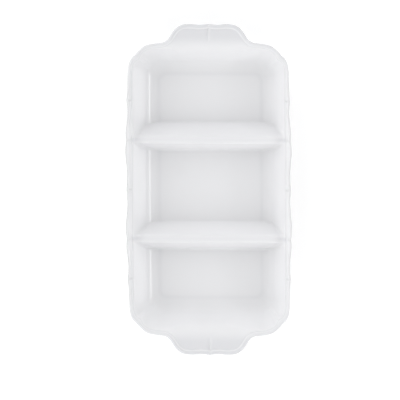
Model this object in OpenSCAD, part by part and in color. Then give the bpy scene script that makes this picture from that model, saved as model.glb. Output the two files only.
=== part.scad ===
// Divided serving dish: one long bowl with two cross ridges, a scalloped raised rim and a tab handle
// at each end. It lies on its foot ring, with +Z up and +Y along the dish towards the far handle.
// The origin is under the middle of the dish, on the surface that it stands on.

/* [Overall] */
// Length over both handles
length = 402; // [342:5:472]
// Width over the scalloped long sides
width = 200; // [170:5:235]
// Height from the table to the top of the lip
height = 44; // [38:1:52]

/* [Handles] */
// Width of each handle across its root
handle_w = 92; // [78:1:108]
// How far each handle stands out past the shoulders of the rim
handle_reach = 25; // [21:1:30]
// Thickness of the handle and of the rim's root
handle_t = 5.5; // [4.5:0.5:6.5]
// Rounding where the handle turns down into the end wall
handle_round = 9; // [7:0.5:11]

/* [Rim] */
// Width of the raised band along the long sides, at its fullest wave
side_band = 9; // [7.5:0.5:11]
// Width of the raised band along the shoulders
end_band = 6.6; // [5.5:0.1:8]
// Radius of the wall's top line in plan, at each corner
corner_r = 31; // [25:1:37]
// Depth of the waves in the long sides
wave = 3.6; // [2.8:0.1:4.4]
// How far each corner notch lies inside the long side
corner_in = 11.8; // [9.5:0.1:14]
// How far each corner notch lies inside the shoulder
corner_down = 15.1; // [12.5:0.1:18]
// Height of the lip above the top line of the wall
rim_rise = 5.2; // [4.2:0.1:6.2]
// How much lower the lip runs round the ends than along the sides
end_drop = 3.2; // [2.6:0.1:3.8]
// Height of the small step at the band's inner line
step_h = 0.8; // [0.6:0.1:1]
// Width of the small ledge inside the step
ledge = 1; // [0.8:0.1:1.2]
// Radius of the lip's rounded edge
lip_r = 1.8; // [1.5:0.1:2.2]
// Height of the pleats that cross the band at its points
pleat_h = 0.5; // [0.4:0.1:0.7]
// How far the band narrows where a divider meets the wall
pinch = 1.4; // [1.1:0.1:1.7]

/* [Bowl] */
// Thickness of the walls and the floor
thick = 5; // [4:0.5:6]
// Radius of the sweep between the floor and the walls
sweep_r = 16; // [13:1:19]
// Level distance from a wall's top line to the flat floor
wall_run = 31.5; // [27:0.5:37]
// Radius of the flat floor's corners
floor_r = 12; // [11:0.5:14.5]

/* [Dividers] */
// Distance between the crests of the two dividers
crest_gap = 120.4; // [100:1:143]
// Width of each divider's rounded crest
crest_w = 10; // [8.5:0.5:12]
// Height of the crest's rounding
crest_round = 4.4; // [3.8:0.2:5.2]
// How far the crests lie below the lip
crest_drop = 9; // [7.5:0.5:11]
// Width of each divider where it meets the floor
divider_base = 39; // [33:1:46]
// Radius of the sweep between a divider and the floor
divider_sweep_r = 10; // [8.5:0.5:12]

/* [Foot] */
// Height of the foot ring
foot_h = 2.5; // [2:0.5:3.5]
// Width of the foot ring's tread
foot_w = 5; // [4.2:0.2:6]
// How far the foot ring lies inside the edge of the flat floor
foot_inset = 3; // [2.5:0.5:4]

/* [Hidden] */
glaze = [0.93, 0.93, 0.92];
bisque = [0.88, 0.86, 0.82];
$fn = 64;

// Overrun of a cut past the face that it opens
over = 1;

// Levels
floor_z = foot_h + thick;
wall_z = height - rim_rise;
seat_z = wall_z - handle_t;
crest_z = height - crest_drop;
lip_z = height - pleat_h;

// Half sizes in plan: the outline's sides and shoulders, the wall's top line and the flat floor
half_w = width / 2;
half_l = length / 2;
shoulder_y = half_l - handle_reach;
crest_y = crest_gap / 2;
base_half = divider_base / 2;

// The outline's first quarter runs from the middle of the far handle to the middle of the right side.
// Its corners are the points and notches where two of its curves meet.
// Handle: shares of the handle's half width, and of its reach past the shoulder
handle_shares = [[0, 1], [0.22, 0.955], [0.5, 0.985], [0.68, 0.945], [0.8, 0.83], [0.9, 0.65], [0.97, 0.45],
    [1.06, 0.22], [1.16, 0.1], [1.27, 0.065]];
// Shoulder: shares of the way across and down from the handle's root to the corner notch
shoulder_shares = [[0, 0], [0.23, 0.066], [0.43, 0.126], [0.63, 0.285], [0.8, 0.56], [1, 1]];
// Corner: shares of the way out and down from the corner notch to the side's outer point
corner_shares = [[0, 0], [0.27, 0.04], [0.63, 0.146], [0.82, 0.34], [0.84, 0.6], [0.88, 0.81], [1, 1]];
// Side over an end compartment: shares of the way from the outer point to the divider, and of the wave's depth
end_wave_shares = [[0, 0.5], [0.33, 0.74], [0.56, 0.51], [0.83, 0.17], [1, 0.29]];
// Side over the middle compartment: shares of the way from the divider to the middle, and of the wave's depth
middle_wave_shares = [[0, 0.29], [0.22, 0], [0.485, 0.31], [0.72, 0.54], [1, 0.34]];
// The side's outer point lies at this share of the way from the divider to the corner notch
point_share = 0.467;

root = [handle_w / 2 * handle_shares[9].x, shoulder_y + handle_reach * handle_shares[9].y];
notch = [half_w - corner_in, root.y - corner_down];
outer_point = [half_w - wave * end_wave_shares[0].y, crest_y + (notch.y - crest_y) * point_share];

top_half = [half_w - side_band, root.y - end_band];
floor_half = top_half - [wall_run, wall_run];

// Stations in each curve of the outline, all even
handle_steps = 16;
shoulder_steps = 8;
corner_steps = 10;
end_steps = 8;
middle_steps = 10;
// Station numbers of the corners
root_i = handle_steps;
notch_i = root_i + shoulder_steps;
point_i = notch_i + corner_steps;
crest_i = point_i + end_steps;
quarter = crest_i + middle_steps;
// The walls are plainer than the rim and use every second station
wall_skip = 2;

// Distance along a line of points, up to each of them
function distances(p) = [for (i = 0, s = 0; i < len(p); i = i + 1, s = s + (i < len(p) ? norm(p[i] - p[i - 1]) : 0)) s];
// Slopes of the smooth curve through the points
function mid_slope(p, d, i) = let (back = d[i] - d[i - 1], on = d[i + 1] - d[i])
    ((p[i] - p[i - 1]) / back * on + (p[i + 1] - p[i]) / on * back) / (back + on);
function end_slope(p, d, i, k) = (3 * (p[k] - p[i]) / (d[k] - d[i]) - mid_slope(p, d, k)) / 2;
function slope(p, d, i) = i == 0 ? end_slope(p, d, 0, 1)
    : i == len(p) - 1 ? end_slope(p, d, i, i - 1)
    : mid_slope(p, d, i);
function blend(a, b, slope_a, slope_b, t) = a * (2 * t ^ 3 - 3 * t ^ 2 + 1) + slope_a * (t ^ 3 - 2 * t ^ 2 + t)
    + b * (3 * t ^ 2 - 2 * t ^ 3) + slope_b * (t ^ 3 - t ^ 2);
function span(d, s, i = 0) = i >= len(d) - 2 || s <= d[i + 1] ? i : span(d, s, i + 1);
// Points at even distances along the smooth curve, without its last point
function curve(p, steps) = let (d = distances(p)) [for (k = [0 : steps - 1])
    let (s = d[len(d) - 1] * k / steps, i = span(d, s), h = d[i + 1] - d[i])
    blend(p[i], p[i + 1], slope(p, d, i) * h, slope(p, d, i + 1) * h, (s - d[i]) / h)];

outline = concat(
    curve([for (s = handle_shares) [handle_w / 2 * s.x, shoulder_y + handle_reach * s.y]], handle_steps),
    curve([for (s = shoulder_shares) root + [(notch.x - root.x) * s.x, (notch.y - root.y) * s.y]], shoulder_steps),
    curve([for (s = corner_shares) notch + [(outer_point.x - notch.x) * s.x, (outer_point.y - notch.y) * s.y]],
        corner_steps),
    curve([for (s = end_wave_shares) [half_w - wave * s.y, outer_point.y + (crest_y - outer_point.y) * s.x]],
        end_steps),
    curve([for (s = middle_wave_shares) [half_w - wave * s.y, crest_y * (1 - s.x)]], middle_steps),
    [[half_w - wave * middle_wave_shares[4].y, 0]]);

function unit(v) = v / norm(v);
function mix(a, b, t) = a + (b - a) * t;
function mirror_x(p) = [-p.x, p.y];
// Outward direction of the outline at a station of the handle
function outward(i) = let (ahead = outline[i + 1], behind = i == 0 ? mirror_x(outline[1]) : outline[i - 1],
    along = unit(ahead - behind)) [-along.y, along.x];

// Rounded rectangle by half size and corner radius, in the first quarter
function on_top(x, half, r) = x <= half.x - r ? half.y : half.y - r + sqrt(r ^ 2 - (x - half.x + r) ^ 2);
function nearest(p, half, r) = let (c = half - [r, r]) p.x <= c.x ? [p.x, half.y]
    : p.y <= c.y ? [half.x, p.y] : c + r * unit(p - c);
function matching(p, half, r, other, q) = let (c = half - [r, r], e = other - [q, q])
    p.x <= c.x ? [p.x * e.x / c.x, other.y] : p.y <= c.y ? [other.x, p.y * e.y / c.y] : e + (p - c) * q / r;

// Band: its inner line, and the top line of the wall under it
root_top = nearest(outline[root_i], top_half, corner_r);
end_shares = [for (i = [0 : quarter]) let (t = min(1, max(0, (point_i - i) / corner_steps))) t ^ 2 * (3 - 2 * t)];
root_band = norm(outline[root_i] - root_top) - ledge;
pinch_shares = [for (i = [0 : quarter]) abs(i - crest_i) == 0 ? 1 : abs(i - crest_i) == 1 ? 0.45 : 0];
pleat_shares = [for (i = [0 : quarter]) i == 0 || i == notch_i || i == point_i || i == quarter ? 1 : 0];
handle_line = [for (i = [0 : root_i - 1]) outline[i] - outward(i) * root_band];
top_line = [for (i = [0 : quarter])
    i < root_i ? [handle_line[i].x, on_top(handle_line[i].x, top_half, corner_r)]
    : nearest(outline[i], top_half, corner_r)];
band_line = [for (i = [0 : quarter]) i < root_i ? handle_line[i]
    : top_line[i] + unit(outline[i] - top_line[i]) * (ledge + pinch * pinch_shares[i])];
floor_line = [for (i = [0 : quarter]) matching(top_line[i], top_half, corner_r, floor_half, floor_r)];

// Wall's section, as distance out from the flat floor and height above it: a sweep, then a straight slope
rise = wall_z - floor_z;
reach = norm([wall_run, rise - sweep_r]);
lean = acos(sweep_r / reach) - atan2(rise - sweep_r, wall_run);
sweep_steps = 5;
sweep_angles = [for (k = [0 : sweep_steps]) (90 - lean) * k / sweep_steps];
seat_run = wall_run - handle_t * tan(lean);
inner_section = concat([for (a = sweep_angles) [sweep_r * sin(a), sweep_r * (1 - cos(a))]],
    [[seat_run, seat_z - floor_z]]);
outer_section = concat([for (a = sweep_angles) [(sweep_r + thick) * sin(a), sweep_r - (sweep_r + thick) * cos(a)]],
    [[seat_run + thick / cos(lean), seat_z - floor_z]]);

function at(p, z) = [p.x, p.y, z];
function on_wall(i, s) = at(mix(floor_line[i], top_line[i], s.x / wall_run), floor_z + s.y);
function reversed(p) = [for (i = [len(p) - 1 : -1 : 0]) p[i]];
function wall_ring(i) = concat([for (s = inner_section) on_wall(i, s)], [for (s = reversed(outer_section)) on_wall(i, s)]);

// Shares along the underside of the rim, closer together towards the lip
under_shares = [for (k = [1 : 7]) 1 - (1 - k / 7) ^ 1.5];
// The underside turns up to the lip over this length
flare = 2.2 * lip_r;
crown_share = 0.5;
crown_rise_share = 0.7;
roll_share = 0.3;
round_share = 0.45;

// Rim's section at a station: over the wall's top, along the ledge or the handle, up the step, over the
// band and round the lip, then back underneath to the wall
function rim_ring(i) = let (
    seat_in = on_wall(i, inner_section[sweep_steps + 1]),
    seat_out = on_wall(i, outer_section[sweep_steps + 1]),
    top = at(top_line[i], wall_z),
    line = at(band_line[i], wall_z + pleat_h * (i == 0 ? 1 : 0)),
    flat = norm(band_line[i] - top_line[i]),
    cut = min(handle_round, flat * round_share),
    down = mix(top, seat_in, min(crown_rise_share, cut / norm(top - seat_in))),
    start = top + at(unit(band_line[i] - top_line[i]), 0) * cut,
    out = unit(outline[i] - band_line[i]),
    band = norm(outline[i] - band_line[i]),
    lift = pleat_h * pleat_shares[i],
    level = lip_z - end_drop * end_shares[i],
    step = at(band_line[i] + out * step_h, wall_z + step_h),
    crown = at(mix(band_line[i], outline[i], crown_share),
        mix(wall_z + step_h, level, crown_rise_share) + lift),
    lip = at(outline[i] - out * min(lip_r, band / 3), level + lift),
    roll = at(outline[i] - out * lip_r * roll_share, level - lip_r * roll_share),
    edge = at(outline[i], level - lip_r),
    under_roll = at(outline[i] - out * lip_r * roll_share, level - lip_r * (2 - roll_share)),
    under_lip = at(outline[i] - out * lip_r, level - lip_r * 2),
    depth = norm([under_lip.x - seat_out.x, under_lip.y - seat_out.y]))
    concat([seat_in, down, (down + 2 * top + start) / 4, start, line, step, crown, lip, roll, edge, under_roll],
        [for (s = reversed(under_shares)) let (p = mix(seat_out, under_lip, s),
            turn = max(0, 1 - (1 - s) * depth / flare)) at(p, mix(seat_z, under_lip.z, turn))],
        [seat_out]);

// A station of the whole way round: 0 is the middle of the far handle, and it goes round by the right side
around = 4 * quarter;
function turned(g) = (g % around + around) % around;
function folded(g) = let (q = floor(g / quarter), r = g % quarter) q % 2 == 0 ? r : quarter - r;
function flipped(p, g) = let (q = floor(g / quarter)) [for (v = p) [q < 2 ? v.x : -v.x, q == 0 || q == 3 ? v.y : -v.y, v.z]];
function wall_at(g) = flipped(wall_ring(folded(turned(g))), turned(g));
function rim_at(g) = flipped(rim_ring(folded(turned(g))), turned(g));

// Solid through a row of sections with the same number of points, closed by a flat end at each side
module skin(rings) {
    n = len(rings[0]);
    last = len(rings) - 1;
    function cap(base) = [for (k = [0 : ceil(n / 2) - 2]) let (a = k, b = k + 1, c = n - 2 - k, d = n - 1 - k)
        each b == c ? [[base + a, base + b, base + d]]
            : [[base + a, base + b, base + c], [base + a, base + c, base + d]]];
    sides = [for (k = [0 : last - 1], j = [0 : n - 1]) let (m = (j + 1) % n,
        a = k * n + j, b = k * n + m, c = (k + 1) * n + m, d = (k + 1) * n + j) each [[a, b, c], [a, c, d]]];
    polyhedron(points = [for (r = rings) each r],
        faces = concat([for (f = cap(0)) reversed(f)], sides, cap(last * n)), convexity = 6);
}

module wall_part(first, final) {
    skin([for (g = [first : wall_skip : final]) wall_at(g)]);
}

module rim_part(first, final) {
    skin([for (g = [first : final]) rim_at(g)]);
}

// Plan of the flat floor, the same corner points as the walls
floor_plan = [for (g = [0 : wall_skip : around - 1]) flipped([at(floor_line[folded(g)], 0)], g)[0]];

module floor_panel(low, high) {
    translate([0, 0, foot_h]) linear_extrude(thick) intersection() {
        polygon([for (p = floor_plan) [p.x, p.y]]);
        translate([-half_w, low]) square([width, high - low]);
    }
}

// Divider's section across the dish, from its foot at the floor up to its crest
crest_half = crest_w / 2;
divider_rise = crest_z - floor_z - crest_round;
divider_run = base_half - crest_half;
divider_reach = norm([divider_run, divider_rise - divider_sweep_r]);
divider_lean = acos(divider_sweep_r / divider_reach) - atan2(divider_rise - divider_sweep_r, divider_run);
divider_angles = [for (k = [0 : sweep_steps]) (90 - divider_lean) * k / sweep_steps];
crest_angles = [for (k = [0 : sweep_steps]) 90 * k / sweep_steps];
divider_half = concat([[base_half, foot_h]],
    [for (a = divider_angles) [base_half - divider_sweep_r * sin(a), floor_z + divider_sweep_r * (1 - cos(a))]],
    [for (a = crest_angles) [crest_half * cos(a), crest_z - crest_round * (1 - sin(a))]]);
// Hollow under the divider, one wall's thickness inside its flanks
hollow_r = divider_sweep_r + thick;
hollow_top_half = crest_half * round_share;
hollow_turn = [base_half - hollow_r * sin(90 - divider_lean), divider_sweep_r - hollow_r * cos(90 - divider_lean)];
hollow_half = concat([[base_half, foot_h - over]],
    [for (a = divider_angles) [base_half - hollow_r * sin(a), floor_z + divider_sweep_r - hollow_r * cos(a)]],
    [[hollow_top_half, floor_z + hollow_turn.y + (hollow_turn.x - hollow_top_half) / tan(divider_lean)]]);
hollow_half_w = floor_half.x - foot_inset - foot_w - foot_inset;
// Space between the side walls, across the dish
space_half = concat([[floor_half.x, foot_h]], [for (s = inner_section) [floor_half.x + s.x, floor_z + s.y]],
    [[top_half.x, wall_z]]);

module mirrored(half) {
    polygon(concat(half, [for (p = reversed(half)) [-p.x, p.y]]));
}

// Runs an outline drawn in the X and Z directions along Y
module along_y(size) {
    translate([0, size / 2, 0]) rotate([90, 0, 0]) linear_extrude(size) children();
}

module divider_part() {
    difference() {
        intersection() {
            rotate([0, 0, 90]) along_y(width) mirrored(divider_half);
            along_y(divider_base + 2 * over) mirrored(space_half);
        }
        rotate([0, 0, 90]) along_y(2 * hollow_half_w) mirrored(hollow_half);
    }
}

// Rounded rectangle from exact arcs
module slab(half, r) {
    square([2 * half.x, 2 * (half.y - r)], center = true);
    square([2 * (half.x - r), 2 * half.y], center = true);
    for (x = [-1, 1], y = [-1, 1]) translate([x * (half.x - r), y * (half.y - r)]) circle(r);
}

foot_half = floor_half - [foot_inset, foot_inset];
foot_r = floor_r - foot_inset;

module foot_ring() {
    color(bisque) linear_extrude(foot_h) difference() {
        slab(foot_half, foot_r);
        slab(foot_half - [foot_w, foot_w], foot_r - foot_w);
    }
}

module floor_far() {
    color(glaze) floor_panel(crest_y + base_half, half_l);
}

module floor_middle() {
    color(glaze) floor_panel(base_half - crest_y, crest_y - base_half);
}

module floor_near() {
    color(glaze) floor_panel(-half_l, -crest_y - base_half);
}

module wall_right() {
    color(glaze) wall_part(notch_i, 2 * quarter - notch_i);
}

module wall_left() {
    color(glaze) wall_part(2 * quarter + notch_i, around - notch_i);
}

module wall_far() {
    color(glaze) wall_part(-notch_i, notch_i);
}

module wall_near() {
    color(glaze) wall_part(2 * quarter - notch_i, 2 * quarter + notch_i);
}

module divider_far() {
    color(glaze) translate([0, crest_y, 0]) divider_part();
}

module divider_near() {
    color(glaze) translate([0, -crest_y, 0]) divider_part();
}

module rim_right() {
    color(glaze) rim_part(root_i, 2 * quarter - root_i);
}

module rim_left() {
    color(glaze) rim_part(2 * quarter + root_i, around - root_i);
}

module handle_far() {
    color(glaze) rim_part(-root_i, root_i);
}

module handle_near() {
    color(glaze) rim_part(2 * quarter - root_i, 2 * quarter + root_i);
}

foot_ring();
floor_far();
floor_middle();
floor_near();
wall_right();
wall_left();
wall_far();
wall_near();
divider_far();
divider_near();
rim_right();
rim_left();
handle_far();
handle_near();
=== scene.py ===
"""Divided serving dish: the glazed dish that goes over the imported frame, with its stage, lamp and camera."""

import math

import bmesh
import bpy
import numpy as np
from mathutils import Matrix, Vector


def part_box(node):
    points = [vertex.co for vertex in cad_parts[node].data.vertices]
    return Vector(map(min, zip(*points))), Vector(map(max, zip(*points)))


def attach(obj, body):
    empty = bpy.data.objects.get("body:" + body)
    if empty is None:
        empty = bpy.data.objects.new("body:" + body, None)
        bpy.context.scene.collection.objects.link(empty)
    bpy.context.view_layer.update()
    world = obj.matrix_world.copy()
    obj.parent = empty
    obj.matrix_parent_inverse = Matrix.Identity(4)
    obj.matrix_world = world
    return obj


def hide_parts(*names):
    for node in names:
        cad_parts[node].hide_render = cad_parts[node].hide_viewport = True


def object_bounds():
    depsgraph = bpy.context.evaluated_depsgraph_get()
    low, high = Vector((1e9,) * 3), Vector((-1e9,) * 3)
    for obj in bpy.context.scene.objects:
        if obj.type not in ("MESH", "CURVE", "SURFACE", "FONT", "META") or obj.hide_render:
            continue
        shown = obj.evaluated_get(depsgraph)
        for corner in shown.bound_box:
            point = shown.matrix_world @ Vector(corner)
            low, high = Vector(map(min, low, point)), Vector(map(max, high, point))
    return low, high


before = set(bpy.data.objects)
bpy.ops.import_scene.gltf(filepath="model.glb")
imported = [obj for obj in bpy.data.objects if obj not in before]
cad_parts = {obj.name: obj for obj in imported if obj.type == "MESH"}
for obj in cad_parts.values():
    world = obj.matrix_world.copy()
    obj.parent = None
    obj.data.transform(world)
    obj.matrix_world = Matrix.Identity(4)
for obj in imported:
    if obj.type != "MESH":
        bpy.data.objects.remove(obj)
cad_low, cad_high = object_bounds()

bl_info = {
    "name": "Divided serving dish",
    "version": (1, 0, 0),
    "blender": (4, 5, 0),
    "location": "View3D > Sidebar > Dish",
    "description": "A long divided serving dish of white glazed ceramic with a waved rim and two handles",
    "category": "Add Mesh",
}

MM = 0.001  # a millimetre, in metres
TINY = 1e-9  # keeps stations apart and quotients finite

# The outline: five curves over the quarter from the middle of the far handle to the middle of the right side.
# Handle: shares of the handle's half width, and of its reach past the shoulder
HANDLE_SHARES = [
    (0, 1), (0.22, 0.955), (0.5, 0.985), (0.68, 0.945), (0.8, 0.83), (0.9, 0.65), (0.97, 0.45),
    (1.06, 0.22), (1.16, 0.1), (1.27, 0.065),
]
# Shoulder: shares of the way across and down from the handle's root to the corner notch
SHOULDER_SHARES = [(0, 0), (0.23, 0.066), (0.43, 0.126), (0.63, 0.285), (0.8, 0.56), (1, 1)]
# Corner: shares of the way out and down from the corner notch to the side's outer point
CORNER_SHARES = [(0, 0), (0.27, 0.04), (0.63, 0.146), (0.84, 0.34), (0.88, 0.6), (0.92, 0.81), (1, 1)]
# Side past an end compartment: shares of the way from the outer point to the divider, and of the wave's depth
END_WAVE_SHARES = [(0, 0.5), (0.33, 0.74), (0.56, 0.51), (0.83, 0.17), (1, 0.29)]
# Side past the middle compartment: shares of the way from the divider to the middle, and of the wave's depth
MIDDLE_WAVE_SHARES = [(0, 0.29), (0.22, 0), (0.485, 0.31), (0.72, 0.54), (1, 0.34)]
# The side's outer point lies at this share of the way from the divider to the corner notch
POINT_SHARE = 0.467
# Where the curves begin and end, in order
TIP, ROOT, NOTCH, POINT, DIVIDER, MIDDLE = range(6)
# Pleats: the ends of curves at which they cross the band, and how strong each one is
PLEATS = {TIP: 1.0, NOTCH: 0.3, POINT: 1.0, DIVIDER: 0.6, MIDDLE: 1.0}
# Fillet over the foot: how far out and down, in roundings of the foot's edge, and how much painted shade lies
# in it
FOOT_FILLET = [(2.2, 0, 0.4), (1.2, 0.15, 0.8), (0.3, 0.7, 0.6), (0, 1.4, 0)]
# Step at the band's inner line: how far across and up, in heights of the step, and how much painted shade lies
# on it
STEP_ROWS = [(0.45, 0.5, 0.4), (0.9, 0.86, -0.1), (1.4, 1.0, 0.0)]
# Places that lie closer together are one
MERGE_GAP = 1e-6
# The foot is shaded smooth over edges that turn by less than this
FOOT_SMOOTH = math.radians(50)
# Rows of the level top and of the raised band: shares of the way across each
FLAT_ROWS = [0.2, 0.4, 0.6, 0.8, 0.93]
BAND_ROWS = [0.16, 0.34, 0.52, 0.7, 0.86]
# Lip: angles of its rows, in degrees from its crown
LIP_ANGLES = [0, 18, 36, 54, 72, 90, 112, 134, 157, 180]


def top_of(node):
    """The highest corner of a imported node."""
    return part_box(node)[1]


def length(name, description, default):
    """A size in metres that a user may change."""
    return bpy.props.FloatProperty(
        name=name, description=description, default=default, min=0, unit="LENGTH", precision=4,
    )


def share(name, description, default):
    """A number from 0 to 1 that a user may change."""
    return bpy.props.FloatProperty(
        name=name, description=description, default=default, min=0, max=1, subtype="FACTOR",
    )


def colour(name, description, default):
    """A colour that a user may change."""
    return bpy.props.FloatVectorProperty(
        name=name, description=description, default=default, size=4, min=0, max=1, subtype="COLOR",
    )


def strength(name, description, default):
    """A strength of light that a user may change."""
    return bpy.props.FloatProperty(name=name, description=description, default=default, min=0)


class DishForm(bpy.types.PropertyGroup):
    """Sizes of the dish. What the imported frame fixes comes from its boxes."""

    half_l: length("Half length", "Middle to the tip of a handle", cad_high.y)
    half_w: length("Half width", "Middle to the widest point of a side", top_of("rim_right").x)
    floor_z: length("Floor level", "Height of the compartments' floors", top_of("floor_middle").z)
    side_run: length("Side wall run", "Level distance from a side wall's top line to the floor", 29.5 * MM)
    end_run: length("End wall run", "Level distance from an end wall's top line to the floor", 35 * MM)
    side_sweep: length("Side sweep", "Radius of the sweep between the floor and the side walls", 19.5 * MM)
    end_sweep: length("End sweep", "Radius of the sweep between the floor and the end walls", 24 * MM)
    floor_r: length("Floor corner", "Radius of the flat floor's corners", 9 * MM)
    corner_r: length("Corner radius", "Radius of the wall's top line at the corners", 31 * MM)
    seat_z: length("Rim root", "Height at which the rim grows out of the wall", top_of("wall_right").z)
    crest_z: length("Crest level", "Height of the dividers' crests", top_of("divider_far").z)
    crest_half: length("Crest half width", "Middle of a divider's crest to where its slopes begin", 4.2 * MM)
    divider_r: length("Divider foot", "Width of the small fillet at a divider's foot", 1.6 * MM)
    divider_in: length("Divider inset", "How far a divider's foot lies inside the packed one's", 1.2 * MM)
    weld: length("Weld", "Depth over which a divider melts into the walls", 6.5 * MM)
    handle_half: length("Half handle width", "Middle to the side of a handle", 46 * MM)
    handle_reach: length("Handle reach", "How far a handle stands out past the shoulders", 25 * MM)
    handle_round: length("Handle rounding", "Rounding where a handle turns down into the end wall", 14 * MM)
    crease: length("Crease", "Length of the crease from a handle's tip inward", 23 * MM)
    crease_w: length("Crease width", "Width of the crease's valley, and of the fold beside it", 1.0 * MM)
    wave: length("Wave", "Depth of the waves in the sides", 3.6 * MM)
    corner_in: length("Notch in", "How far a corner notch lies inside the side", 11.8 * MM)
    corner_down: length("Notch down", "How far a corner notch lies inside the shoulder", 15.1 * MM)
    rim_rise: length("Rim rise", "Height of the lip above the wall's top line", 5.2 * MM)
    end_drop: length("End drop", "How much lower the lip runs round the ends than along the sides", 3.2 * MM)
    step_h: length("Step", "Height of the small step at the band's inner line", 0.65 * MM)
    ledge: length("Ledge", "Width of the ledge inside the step", 1.0 * MM)
    pinch: length("Pinch", "How far the band narrows at a divider", 1.4 * MM)
    pinch_w: length("Pinch width", "Half width of that narrow place, along the rim", 4 * MM)
    dimple: length("Notch dimple", "How far the band's inner line dips inward at a corner notch", 2.7 * MM)
    dimple_w: length("Dimple width", "Half width of that dip, along the rim", 5.5 * MM)
    lip_r: length("Lip radius", "Radius of the lip's rounded edge", 1.8 * MM)
    lip_low: length("Lip lowering", "How far the lip lies under the packed one's, below its pleats", 0.5 * MM)
    pleat_h: length("Pleat", "Height of the pleats that cross the band", 1.4 * MM)
    pleat_w: length("Pleat width", "Width of the pleats that cross the band", 1.3 * MM)
    thick: length("Thickness", "Thickness of the walls and floors", 5 * MM)
    sweep_r: length("Outer sweep", "Radius of the outer sweep under the walls, less their thickness", 16 * MM)
    wall_run: length("Wall run", "Level distance from a wall's top line to the underside's flat", 31.5 * MM)
    under_r: length("Under corner", "Radius of the underside's corners", 12 * MM)
    foot_half_w: length("Half foot width", "Middle to the foot's outer face, across", top_of("foot_ring").x)
    foot_half_l: length("Half foot length", "Middle to the foot's outer face, along", top_of("foot_ring").y)
    foot_h: length("Foot height", "Height of the foot ring", top_of("foot_ring").z)
    foot_w: length("Foot width", "Width of the foot ring's tread", 5 * MM)
    foot_edge: length("Foot edge", "Rounding of the foot ring's edges", 0.7 * MM)
    bare_h: length("Bare foot", "Height of the foot's bare tread, below the glaze", 1.0 * MM)
    bare_in: length("Bare depth", "How far the bare tread runs up behind the glaze", 0.4 * MM)
    glaze_t: length("Glaze thickness", "Thickness of the glaze where it ends at the foot", 0.15 * MM)
    # Painted shade: how far it reaches along a crest from its ends, the distance over which it fades, and how
    # strong it is where the floors meet the walls and at the dividers' feet
    crest_shade_reach: length("Crest pool", "How far the glaze pools along a crest from its ends", 14 * MM)
    shade_w: length("Pool width", "Distance over which the pooled glaze thins out", 2.6 * MM)
    pool: share("Pool", "How much glaze pools where the floors meet the walls", 0.28)


class DishFinish(bpy.types.PropertyGroup):
    """Finishes of the dish."""

    glaze: colour("Glaze", "White of the glaze", (0.84, 0.842, 0.857, 1))
    # Painted shade: the next two greys are painted where shade falls, the first over edges, folds and the lip,
    # the second in hollows, along lines, on the crests and on the handles
    darker: colour("Thin glaze", "Where the glaze runs thin over an edge", (0.69, 0.69, 0.70, 1))
    shaded: colour("Pooled glaze", "Where the glaze pools in a hollow", (0.715, 0.72, 0.745, 1))
    bisque: colour("Bisque", "Bare fired clay of the foot", (0.62, 0.57, 0.50, 1))
    gloss: share("Roughness", "Roughness of the glaze", 0.16)


class DishLight(bpy.types.PropertyGroup):
    """Strengths of the soft tent of light round the dish, and of the strip lamp."""

    ring: strength("Ring", "Light from half way up", 1.04)
    far: strength("Far", "Light from the far side", 0.77)
    near: strength("Near", "Light from the near side", 0.83)
    low_left: strength("Low left", "Light from low down on the left", 1.27)
    strip: strength("Strip lamp", "Power of the strip lamp on the right, in watts", 1.2)


def unit(v):
    """Vectors of length 1 that point the same way."""
    return v / np.linalg.norm(v, axis=-1, keepdims=True)


def mix(a, b, t):
    """A value at share t of the way from a to b."""
    return a + (b - a) * t


def smooth(t):
    """A share eased at both ends, and held between 0 and 1."""
    t = np.clip(t, 0, 1)
    return t * t * (3 - 2 * t)


def hump(distance, width):
    """A soft hump: 1 in its middle, dying away with the distance from it."""
    return np.exp(-((distance / width) ** 2))


def shares(count):
    """A count of even shares of the way, of which the last is 1."""
    return np.linspace(0, 1, count + 1)[1:]


def lengths(points):
    """How far along a line each of its points lies."""
    return np.concatenate([[0], np.cumsum(np.linalg.norm(np.diff(points, axis=0), axis=1))])


def evenly(a, b, step):
    """Even places from a to b, no further apart than a step."""
    return np.linspace(a, b, max(2, math.ceil((b - a) / step) + 1))


def soft_max(a, b, k):
    """The larger of two heights, rounded over k where they are close. The rounding dies out at zero."""
    k = k * smooth(np.minimum(a, b) / k) + TINY
    return np.maximum(a, b) + np.maximum(k - np.abs(a - b), 0) ** 2 / (4 * k)


def curve_through(points, count):
    """Points along the smooth curve through the given ones, at even distances."""
    p = np.array(points, float)
    d = lengths(p)
    h = np.diff(d)[:, None]
    chord = np.diff(p, axis=0) / h
    inner = (chord[:-1] * h[1:] + chord[1:] * h[:-1]) / (h[:-1] + h[1:])
    m = np.vstack([(3 * chord[0] - inner[0]) / 2, inner, (3 * chord[-1] - inner[-1]) / 2])
    s = np.linspace(0, d[-1], count)
    i = np.clip(np.searchsorted(d, s, side="right") - 1, 0, len(h) - 1)
    t = ((s - d[i]) / h[i, 0])[:, None]
    return (p[i] * (2 * t**3 - 3 * t**2 + 1) + m[i] * h[i] * (t**3 - 2 * t**2 + t)
            + p[i + 1] * (3 * t**2 - 2 * t**3) + m[i + 1] * h[i] * (t**3 - t**2))


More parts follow.
